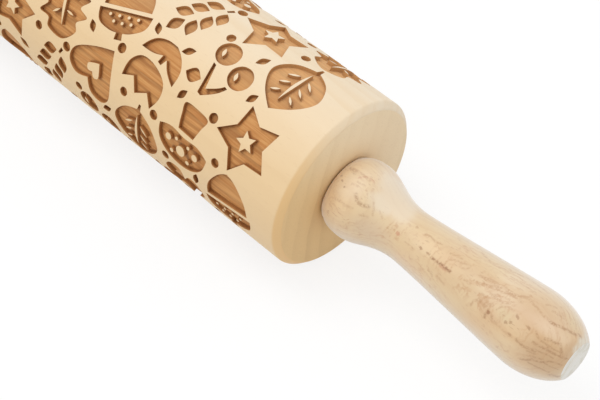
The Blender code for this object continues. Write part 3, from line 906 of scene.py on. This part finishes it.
def makeCharredWall():            # darkest at the foot, with the grain showing through near the top
    material, tree, shader = startMaterial("charredWall")
    place = barePlace(tree)
    grain = rollerGrain(tree, place, roller["floorRingWidth"], 3.0)
    sunk = useGroup(tree, pocketDepth, Place=place, Radius=rollerRadius, Depth=engraving["depth"])["Sunk"]
    rough = calc(tree, "ADD", sunk, calc(tree, "MULTIPLY", grain["Fibres"], 0.4))
    deep = ramp(tree, rough, 0.1, 0.8)
    colour = mixColour(tree, deep, shade(roller["charredTop"]), shade(roller["charred"]))
    # painted light on the walls of the roller's top and back
    light = litSide(tree, place, roller["charredLitStrength"])
    colour = mixColour(tree, light, colour, shade(roller["charredLit"]))
    roughness = fibreRoughness(tree, grain, roller["wallRoughness"])
    dress(tree, shader, colour, roughness, grain["Fibres"], roller["wallGrainDepth"])
    return material


def makeEndGrain():               # arcs of the growth rings, and dots, across the cut end
    material, tree, shader = startMaterial("endGrain")
    place = barePlace(tree)
    grain = useGroup(tree, woodGrain, Place=place, Pith=roller["endPith"], Ring_Width=roller["endRingWidth"],
                     Wander=roller["endWander"])
    # partly the wood's warmer tone and partly painted shade: the end turns warmer and darker toward the
    # bottom, with stronger rings there
    shadedWarmth = shadedSide(tree, place, roller["endShadeReach"])
    colour = mixColour(tree, shadedWarmth, shade(roller["endPale"]), shade(roller["endShadedWarm"]))
    strength = ramp(tree, shadedWarmth, 0, 1, *roller["endRingStrength"])
    colour = tint(tree, colour, grain["Rings"], strength, roller["endRing"])
    dots = useGroup(tree, beechFlecks, Place=place, Length=3.0, Width=0.55, Share=0.4, Seed=5.0)["Flecks"]
    colour = tint(tree, colour, dots, roller["endFleckStrength"], roller["endFleck"])
    roughness = fibreRoughness(tree, grain, roller["endRoughness"])
    dress(tree, shader, colour, roughness, grain["Fibres"], roller["fibreDepth"])
    return material


bareBeech = makeBareBeech()
makeRoller((bareBeech, makeFloorBeech(), makeCharredWall(), makeEndGrain(), bareBeech))
print("roller engraved")


handle = {
    "baseRadius": 0.0116,
    "baseRound": 0.0010,
    "collarRadius": 0.0132, "collarAt": 0.0074, "collarReach": (0.20, 0.45), "collarClimb": 0.75,
    "neckRadius": 0.00865, "neckAt": 0.0260, "neckReach": (0.30, 0.48),
    "palmRadius": 0.0127, "palmAt": 0.0734, "palmReach": (0.13, 0.10),
    "tipRadius": 0.0063,
    "tipRound": 0.0004,
    "curvePoints": 14,
    "girthRadius": 11.0,                             # millimetres, for the grain laid flat
    "sides": 112,
    "rodSeat": 0.040,
    "fitGap": 0.0003,
    "pith": (0, 45, -54),                            # millimetres
    "ringWidth": 1.7, "wander": 7.0, "wobble": 1.6,
    "lineSpacing": 1.0, "lineWander": 6.0, "lineRipple": 1.9,
    "light": (239, 216, 182),
    "tan": (229, 194, 147),
    "yellow": (232, 206, 162),
    "ringShade": (206, 160, 116),
    "ringStrength": 0.22,
    "lineTint": (202, 152, 106),
    "lineStrength": 0.65,
    "fleck": (164, 112, 74),
    "fleckStrength": 0.25,
    "highlightPale": 0.62,                                # how pale the painted highlights turn the wood
    "roughness": (0.42, 0.54),
    "fibreDepth": 0.00002,
    "sheen": 1.0,                                    # the fine raised fibres that pale the wood at its rims
    "sheenRoughness": 0.5,
    "tipPale": (245, 243, 236),
    "tipShade": (222, 216, 196),
    "tipRingStrength": 0.4,
    "tipRoughness": (0.5, 0.62),
}

# Marks seen on the right handle: along, angle, length, width (mm, degrees), turn, strength, colour
# About half of these places were worked out from points picked in the photo. A separate program
# worked out about half of these places from points picked in the photo
handleMarks = (
    (1.7, 21, 1.2, 0.9, 10, 0.5, "crack"), (3.2, 26, 1.5, 0.9, 20, 0.45, "crack"),
    (5.3, 31, 1.1, 0.9, -20, 0.5, "crack"), (26.2, 41, 2.0, 2.0, 10, 0.6, "red"),
    (29.6, 8, 1.5, 1.2, 10, 0.4, "vein"), (35.0, 36, 1.9, 1.2, 20, 0.6, "crack"),
    (38.0, 36, 1.9, 1.1, 10, 0.55, "crack"), (44.6, 39, 3.8, 2.0, -2, 0.38, "red"),
    (63.9, 49, 1.9, 1.5, 30, 0.7, "knot"), (70.0, 45, 1.7, 1.3, 0, 0.55, "crack"),
    (71.2, 41, 1.7, 1.4, 0, 0.55, "crack"), (71.9, 30, 2.2, 1.2, 30, 0.55, "crack"),
    (76.3, 33, 2.2, 1.1, 20, 0.55, "crack"), (72.9, 55, 2.0, 1.4, 0, 0.5, "crack"),
)
# Grain lines seen on it: width, strength, colour, then along and angle of each of their points
# A separate program worked out most of these places from points picked in the photo, so this table
# isn't written by hand, and a change to the handle's outline doesn't move it
handleStrokes = (
    (0.9, 0.4, "vein", (3, 3), (6, 3), (10, 3)), (0.8, 0.3, "vein", (6.7, 22), (8.7, 20)),
    (0.9, 0.3, "vein", (7.6, 15), (10, 14)), (0.8, 0.3, "vein", (5, 51), (6.6, 49), (8.7, 50), (11, 48)),
    (1.2, 0.5, "crack", (9.7, 30), (11, 36), (12.7, 37), (14.5, 33)),
    (0.8, 0.25, "vein", (6.4, -24), (10.3, -21)), (0.8, 0.35, "vein", (15, 23), (16.3, 32), (16.9, 40)),
    (0.8, 0.25, "vein", (13.7, 51), (16, 47)), (0.9, 0.4, "crack", (1.9, 4), (4.9, 8)),
    (0.8, 0.35, "red", (6.9, 10), (8.5, 1), (10.8, -1)), (0.8, 0.25, "vein", (17.8, 28), (19.6, 35)),
    (0.8, 0.35, "vein", (29.6, 45), (31.3, 45), (33.2, 46)),
    (0.8, 0.45, "vein", (33.3, 10), (35, 7), (37, 11), (39.3, 8)),
    (0.8, 0.45, "vein", (43.5, 13), (45.3, 10), (47.4, 9)),
    (1.2, 0.85, "crack", (39.6, 38), (43, 37), (47, 37)), (0.9, 0.35, "vein", (41, 59), (42.7, 63)),
    (0.8, 0.4, "vein", (44.3, 33), (44.5, 23), (46, 17), (47.4, 16), (49.5, 12), (51, 10)),
    (0.8, 0.4, "vein", (48.6, 22), (50.2, 20), (51, 14)),
    (0.8, 0.4, "vein", (44.3, 57), (46, 59), (47.5, 60)),
    (0.9, 0.35, "vein", (49.7, -25), (53.7, -17), (56.3, -15), (59, -21), (65.4, -32), (73, -28)),
    (0.8, 0.4, "vein", (52.2, 34), (54.6, 33)),
    (0.9, 0.45, "vein", (55, 15), (59, 12), (61.4, 12), (66.8, 10), (71, 1)),
    (0.9, 0.45, "vein", (54.6, 25), (57, 24), (59, 19), (61, 15), (62.3, 16)),
    (0.9, 0.55, "vein", (58, 58), (58.2, 50), (59.5, 43), (60.4, 45)),
    (0.8, 0.4, "vein", (58.5, 35), (61, 34)), (0.8, 0.4, "vein", (61.3, 46), (62, 40), (63.5, 37)),
    (0.8, 0.45, "vein", (62, 48), (62.7, 42), (64, 39)),
    (0.8, 0.45, "vein", (62, 28), (64.3, 27), (66, 26), (67.7, 22)),
    (0.8, 0.45, "vein", (67, 12), (69, 11), (70.4, 11)),
    (1.0, 0.55, "knot", (63.7, 59), (63.3, 55), (63.8, 49)), (0.9, 0.45, "knot", (65, 49), (65.8, 52)),
    (0.9, 0.35, "vein", (66, 56), (68.2, 55), (70.7, 56), (72.7, 56), (73.6, 55)),
    (0.9, 0.45, "vein", (72, 3), (75, 6), (77.5, 8), (81, 7)),
    (1.0, 0.6, "deep", (80, 8), (81.5, 6), (83.7, 0), (86, -8), (87.6, -22)),
    (0.9, 0.6, "deep", (75, 55), (77.8, 57), (79.6, 55), (81.3, 54)),
    (0.8, 0.45, "deep", (78.7, 31), (80.4, 36)),
    (0.9, 0.65, "deep", (79.7, 45), (81.7, 44), (83.8, 43), (86, 42), (87.8, 41), (89, 37)),
    (0.9, 0.6, "deep", (81.6, 32), (83, 27), (84.5, 27), (85.5, 23), (86.8, 31), (87.7, 42)),
    (0.8, 0.6, "deep", (78.6, 77), (80.2, 74), (81.5, 68), (83.6, 67), (85.6, 59), (87.2, 56), (88.6, 56)),
    (0.8, 0.5, "deep", (81, 76), (83, 78), (85, 79), (86.6, 82)), (1.7, 0.5, "crack", (87.3, 90), (89, 96)),
    (0.7, 0.45, "deep", (81.3, 37), (84.1, 36)), (0.7, 0.45, "deep", (83.5, 39), (86.4, 35)),
    (0.7, 0.4, "deep", (79.4, 60), (81.7, 58)), (0.7, 0.4, "deep", (80.8, 64), (83.7, 60)),
    (0.7, 0.45, "deep", (82, 52), (84, 50), (86, 50)), (0.7, 0.45, "deep", (84.4, 64), (88.3, 70)),
    (0.7, 0.35, "vein", (75.6, -7), (77.8, -15), (81, -14)), (0.7, 0.35, "vein", (78.1, -6), (82.1, -12)),
    (0.7, 0.4, "vein", (55.5, 15), (58.2, 10), (61.2, 8), (64, 7), (66.6, 7)),
    (0.7, 0.4, "vein", (57.7, 21), (60.9, 19), (63.8, 15), (66.2, 12)),
    (0.7, 0.35, "vein", (61.1, 27), (63.8, 22), (66.8, 18)),
    (0.7, 0.4, "vein", (65.5, 11), (68.1, 6), (70.6, -2)),
    (0.7, 0.35, "vein", (62, -13), (66, -13), (70.1, -12)),
    (0.7, 0.4, "vein", (65.6, 39), (66.3, 32), (67.9, 27), (69.9, 27)),
)
# Where its fine grain stands out: along, angle, length, width, turn, strength
busyGrain = (
    (8.0, 15, 16.0, 20.0, 0, 0.3), (40.0, 30, 34.0, 12.0, 4, 0.8), (62.0, 30, 26.0, 20.0, 8, 0.9),
    (80.0, 45, 18.0, 20.0, 8, 0.6), (82.0, -20, 12.0, 12.0, -20, 0.6),
)
# Painted highlights, where the wood is pale and its grain washed out: along, angle, length, width, turn,
# strength
paintedHighlights = (
    (18.5, -20, 30.0, 25.0, 0, 0.95), (17.5, 6, 16.0, 17.0, 35, 0.85), (6.5, 22, 17.0, 26.0, 0, 0.4),
)
# Broad uneven colour on it, with painted light on the base bead, painted shade on the neck's lower front and
# a painted highlight by the knots: along, angle, length, width, turn, strength, colour
handlePatches = (
    (4.0, 32, 24.0, 40.0, 0, 0.8, "goldAndLight"), (19.0, 66, 20.0, 12.0, 0, 0.6, "duskShade"),
    (49.0, 28, 30.0, 20.0, 0, 0.35, "tan"), (64.0, 49, 13.0, 9.0, 10, 0.4, "tan"),
    (68.5, 38, 9.0, 6.5, 0, 0.7, "strawAndHighlight"), (76.0, 8, 34.0, 22.0, 0, 0.6, "tan"),
    (83.5, 58, 22.0, 17.0, 10, 0.65, "brown"), (60.0, 15, 18.0, 8.0, 12, 0.4, "tan"),
    (40.0, 28, 30.0, 7.0, 4, 0.35, "goldAndLight"), (80.5, 17, 17.0, 7.0, -10, 0.6, "pink"),
    (84.0, -26, 9.0, 8.0, 0, 0.5, "strawAndHighlight"), (88.2, 20, 4.0, 15.0, 0, 0.5, "brown"),
    (89.2, 4, 3.0, 5.0, 0, 0.75, "rim"), (88.9, -20, 4.4, 5.6, 0, 0.8, "rim"),
    (88.7, -42, 5.0, 5.0, 0, 0.75, "rim"),
)
# gold also paints light on the base bead, dusk paints shade on the neck and straw paints a highlight by the
# knots
markColours = {
    "crack": (162, 112, 72), "vein": (190, 142, 98), "deep": (172, 124, 82), "red": (204, 134, 100),
    "knot": (162, 110, 64), "tan": (216, 176, 132), "goldAndLight": (250, 220, 176), "pale": (244, 230, 208),
    "pink": (240, 211, 178), "strawAndHighlight": (230, 210, 168), "duskShade": (222, 196, 166), "brown": (198, 158, 114),
    "rim": (235, 230, 212),
}


def curveBetween(start, end, reach, count, climb=0.0):      # after start up to end, level without a climb
    span = end[0] - start[0]
    first, last = Vector((*start, 0)), Vector((*end, 0))
    leave = first + Vector((span * reach[0], (end[1] - start[1]) * climb, 0))
    arrive = last - Vector((span * reach[1], 0, 0))
    return [(point.x, point.y) for point in interpolate_bezier(first, leave, arrive, last, count + 1)[1:]]


def handleProfile():
    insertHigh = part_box("right_insert")[1]
    gap = handle["fitGap"]
    boreRadius, boreEnd = rodRadius + gap, handle["rodSeat"] + gap
    socketRadius, socketEnd = insertHigh.z + gap, insertHigh.x - handleLow.x + gap
    base, edge, count = handle["baseRadius"], handle["baseRound"], handle["curvePoints"]
    start = (edge, base)
    collar = (handle["collarAt"], handle["collarRadius"])
    neck = (handle["neckAt"], handle["neckRadius"])
    palm = (handle["palmAt"], handle["palmRadius"])
    profile = [(boreEnd, 0), (boreEnd, boreRadius), (socketEnd, boreRadius)]
    profile += [(socketEnd, socketRadius), (0, socketRadius)]
    for angle in (0, math.pi / 6, math.pi / 3):
        profile.append((edge - edge * math.cos(angle), base - edge + edge * math.sin(angle)))
    profile.append(start)
    profile += curveBetween(start, collar, handle["collarReach"], count, handle["collarClimb"])
    profile += curveBetween(collar, neck, handle["neckReach"], count)
    profile += curveBetween(neck, palm, handle["palmReach"], count)
    tipAngle = math.acos(handle["tipRadius"] / palm[1])       # the nose is a quarter of an ellipse, cut flat
    noseLength = (handleLength - palm[0]) / math.sin(tipAngle)
    nose = [tipAngle * k / count for k in range(1, count)]
    profile += [(palm[0] + noseLength * math.sin(angle), palm[1] * math.cos(angle)) for angle in nose]
    tip = (handleLength, handle["tipRadius"])
    profile += roundedCorner(profile[-1], tip, (handleLength, 0), handle["tipRound"])
    profile.append((handleLength, 0))
    return profile


def makeHandle(name, node, side, material, tipMaterial):
    bm = bmesh.new()
    spinProfile(bm, handleProfile(), handle["sides"])
    mesh = finishMesh(bm, name)
    for face in mesh.polygons:
        if face.center.x > handleLength - handle["tipRound"] / 2:
            face.material_index = 1
    made = addPiece(name, mesh, material, tipMaterial)
    made.location.x = side * handleLow.x
    made.rotation_euler.z = 0 if side > 0 else math.pi
    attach(made, "handle_set")
    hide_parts(node)


def markAt(tree, place, along, angle, length, width, turn, ragged, soft):
    return useGroup(tree, surfaceMark, Place=place, Along=along, Angle=math.radians(angle), Length=length,
                    Width=width, Turn=math.radians(turn), Ragged=ragged, Soft=soft)["Mark"]


def addMarks(tree, place, colour, marks, ragged, soft):
    for *form, strength, kind in marks:
        colour = tint(tree, colour, markAt(tree, place, *form, ragged, soft), strength, markColours[kind])
    return colour


def addStrokes(tree, place, colour, strokes):
    flat = useGroup(tree, unrolledFace, Place=place, Girth_Radius=handle["girthRadius"])
    for width, strength, kind, *places in strokes:
        points = [(along, math.radians(angle) * handle["girthRadius"], 0) for along, angle in places]
        line = 0.0
        for start, end in zip(points, points[1:]):
            part = useGroup(tree, woodStroke, Spot=flat["Spot"], Start=start, End=end, Width=width)["Stroke"]
            line = calc(tree, "MAXIMUM", line, part)
        seen = calc(tree, "MULTIPLY", flat["Broken"], strength)
        colour = tint(tree, colour, line, seen, markColours[kind])
    return colour


def raiseIn(tree, place, value, spots):
    for *form, strength in spots:
        spot = calc(tree, "MULTIPLY", markAt(tree, place, *form, 0.3, 0.4), strength)
        value = calc(tree, "MAXIMUM", value, spot)
    return value


def lowerIn(tree, place, value, spots):
    for *form, strength in spots:
        spot = ramp(tree, markAt(tree, place, *form, 0.3, 0.47), 0.0, 1.0, 1.0, 1 - strength)
        value = calc(tree, "MINIMUM", value, spot)
    return value


def makeHandleBeech(name, seed, marks=(), strokes=(), patches=(), busy=(), highlights=()):
    material, tree, shader = startMaterial(name)
    place = barePlace(tree)
    grain = useGroup(tree, woodGrain, Place=place, Pith=handle["pith"], Ring_Width=handle["ringWidth"],
                     Wander=handle["wander"], Wobble=handle["wobble"], Seed=seed)
    mottle = ramp(tree, grain["Mottle"], 0.3, 0.7)
    colour = mixColour(tree, mottle, shade(handle["light"]), shade(handle["tan"]))
    hue = ramp(tree, noiseOf(tree, place, 60.0, 1.0), 0.4, 0.65, 0.0, 0.6)
    colour = mixColour(tree, hue, colour, shade(handle["yellow"]))
    colour = addMarks(tree, place, colour, patches, 0.25, 0.45)
    colour = tint(tree, colour, grain["Rings"], handle["ringStrength"], handle["ringShade"])
    wavy = useGroup(tree, wavyLines, Place=place, Pith=handle["pith"], Spacing=handle["lineSpacing"],
                    Wander=handle["lineWander"], Ripple=handle["lineRipple"], Seed=seed)
    clear = raiseIn(tree, place, calc(tree, "MULTIPLY", wavy["Patchy"], 0.7), busy)
    # painted highlights: the grain lines fade in these spots
    offHighlight = lowerIn(tree, place, 1.0, highlights)
    clear = calc(tree, "MULTIPLY", clear, offHighlight)
    lines = calc(tree, "MULTIPLY", clear, handle["lineStrength"])
    colour = tint(tree, colour, wavy["Lines"], lines, handle["lineTint"])
    dashes = ramp(tree, clear, 0.0, 1.0, 0.1, handle["lineStrength"])
    colour = tint(tree, colour, ramp(tree, wavy["Dashes"], 0.5, 0.72), dashes, handle["lineTint"])
    flecks = useGroup(tree, beechFlecks, Place=place, Length=2.2, Width=0.42, Share=0.09, Seed=seed)
    colour = tint(tree, colour, flecks["Flecks"], handle["fleckStrength"], handle["fleck"])
    # painted highlight: the wood turns pale in these spots
    if highlights:
        pale = ramp(tree, offHighlight, 0.1, 1.0, handle["highlightPale"], 0.0)
        colour = mixColour(tree, pale, colour, shade(markColours["pale"]))
    colour = addMarks(tree, place, colour, marks, 0.85, 0.34)
    if strokes:
        colour = addStrokes(tree, place, colour, strokes)
    roughness = fibreRoughness(tree, grain, handle["roughness"])
    dress(tree, shader, colour, roughness, grain["Fibres"], handle["fibreDepth"])
    shader.inputs["Sheen Weight"].default_value = handle["sheen"]
    shader.inputs["Sheen Roughness"].default_value = handle["sheenRoughness"]
    return material


def makeTipGrain():
    material, tree, shader = startMaterial("tipEndGrain")
    place = barePlace(tree)
    grain = useGroup(tree, woodGrain, Place=place, Pith=handle["pith"], Ring_Width=handle["ringWidth"],
                     Wander=handle["wander"])
    colour = tint(tree, shade(handle["tipPale"]), grain["Rings"], handle["tipRingStrength"], handle["tan"])
    blotch = ramp(tree, noiseOf(tree, place, 520.0, 3.0), 0.42, 0.62, 0.0, 0.5)
    colour = mixColour(tree, blotch, colour, shade(handle["tipShade"]))
    feed(tree, shader.inputs["Base Color"], colour)
    feed(tree, shader.inputs["Roughness"], fibreRoughness(tree, grain, handle["tipRoughness"]))
    return material


tipGrain = makeTipGrain()
rightBeech = makeHandleBeech(
    "rightHandleBeech", 0.0, handleMarks, handleStrokes, handlePatches, busyGrain, paintedHighlights)
leftBeech = makeHandleBeech("leftHandleBeech", 41.0)
makeHandle("right_turned_handle", "right_handle", 1, rightBeech, tipGrain)
makeHandle("left_turned_handle", "left_handle", -1, leftBeech, tipGrain)
print("handles turned")


metals = {
    "rod": {"nodes": ("axle_rod",), "bright": (206, 208, 210), "dull": (176, 178, 182),
            "lines": (0.05, 9.0, 9.0), "roughness": (0.2, 0.38)},
    "washer": {"nodes": ("left_thrust_washer", "right_thrust_washer"), "bright": (196, 198, 200),
               "dull": (160, 164, 168), "lines": (6.0, 1.2, 1.2), "roughness": (0.28, 0.48)},
    "insert": {"nodes": ("left_insert", "right_insert"), "bright": (228, 196, 126), "dull": (190, 154, 88),
               "lines": (7.0, 0.4, 0.4), "roughness": (0.24, 0.44)},
}

bush = {
    "nodes": ("left_bush", "right_bush"),
    "pale": (236, 232, 220),
    "shade": (222, 216, 200),
    "roughness": (0.34, 0.46),
}


def makeMetal(name, look):
    material, tree, shader = startMaterial(name + "Metal")
    made = useGroup(tree, drawnMetal, Place=barePlace(tree), Bright=shade(look["bright"]),
                    Dull=shade(look["dull"]), Lines=look["lines"])
    roughness = ramp(tree, made["Wear"], 0.2, 0.8, *look["roughness"])
    dress(tree, shader, made["Color"], roughness, made["Height"], 0.000015)
    shader.inputs["Metallic"].default_value = 1.0
    return material


def makeNylon():
    material, tree, shader = startMaterial("bushNylon")
    place = barePlace(tree)
    cloud = noiseOf(tree, place, 160.0, 3.0)
    colour = mixColour(tree, ramp(tree, cloud, 0.35, 0.65), shade(bush["pale"]), shade(bush["shade"]))
    roughness = ramp(tree, cloud, 0.3, 0.7, *bush["roughness"])
    dress(tree, shader, colour, roughness, noiseOf(tree, place, 2400.0), 0.00001)
    return material


def giveMaterial(nodes, material):
    for node in nodes:
        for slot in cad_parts[node].material_slots:
            slot.link = "OBJECT"
            slot.material = material


for name, look in metals.items():
    giveMaterial(look["nodes"], makeMetal(name, look))
giveMaterial(bush["nodes"], makeNylon())
print("metal and nylon dressed")


stage = {
    "floorSize": 6.0,
    "floorWhite": 0.8,
    "shadowWhite": 0.22,          # how much of the floor's brightness, as seen, takes shadow
    "steadyWhite": 0.80,          # and how much does not
    "ambient": 0.76,
    "keyPlace": (-0.35, -0.25, 1.4),
    "keySize": 0.9,
    "keyPower": 6.0,
}


def seenDirectly(tree):           # 1 for rays from the camera, a gloss or a clear surface
    path = addNode(tree, "LightPath", {}).outputs
    either = calc(tree, "MAXIMUM", path["Is Camera Ray"], path["Is Glossy Ray"])
    return calc(tree, "MAXIMUM", either, path["Is Transmission Ray"])


def makeFloor():                  # pale from above, and clear from below
    material, tree, shader = startMaterial("paleFloor")
    tree.nodes.remove(shader)
    seen = seenDirectly(tree)
    whites = {"Value": seen, "To Min": stage["floorWhite"], "To Max": stage["shadowWhite"]}
    white = addNode(tree, "MapRange", whites)
    diffuse = addNode(tree, "BsdfDiffuse", {"Color": white.outputs[0]})
    glow = addNode(tree, "Emission", {"Strength": calc(tree, "MULTIPLY", seen, stage["steadyWhite"])})
    both = addNode(tree, "AddShader", {0: diffuse.outputs[0], 1: glow.outputs[0]})
    clear = addNode(tree, "BsdfTransparent", {})
    fromBelow = addNode(tree, "NewGeometry", {}).outputs["Backfacing"]
    surface = addNode(tree, "MixShader", {0: fromBelow, 1: both.outputs[0], 2: clear.outputs[0]})
    feed(tree, tree.nodes["Material Output"].inputs["Surface"], surface.outputs[0])
    half = stage["floorSize"] / 2
    mesh = bpy.data.meshes.new("floor")
    corners = [(-half, -half, 0), (half, -half, 0), (half, half, 0), (-half, half, 0)]
    mesh.from_pydata(corners, [], [(0, 1, 2, 3)])
    floor = addPiece("floor", mesh, material)
    floor.location.z = rollerLow.z


def makeWorld():
    world = bpy.data.worlds.new("studio")
    world.use_nodes = True
    tree = world.node_tree
    background = tree.nodes["Background"]
    background.inputs["Color"].default_value = (1, 1, 1, 1)
    levels = {"Value": seenDirectly(tree), "To Min": stage["ambient"], "To Max": 1.0}
    feed(tree, background.inputs["Strength"], addNode(tree, "MapRange", levels).outputs[0])
    bpy.context.scene.world = world


def makeKeyLamp():
    data = bpy.data.lights.new("key", "AREA")
    data.shape = "DISK"
    data.size = stage["keySize"]
    data.energy = stage["keyPower"]
    aimFrom(addToScene("key", data), stage["keyPlace"], (0, 0, 0))


makeFloor()
makeWorld()
makeKeyLamp()
bpy.context.scene.view_settings.view_transform = "Standard"
print("stage ready")
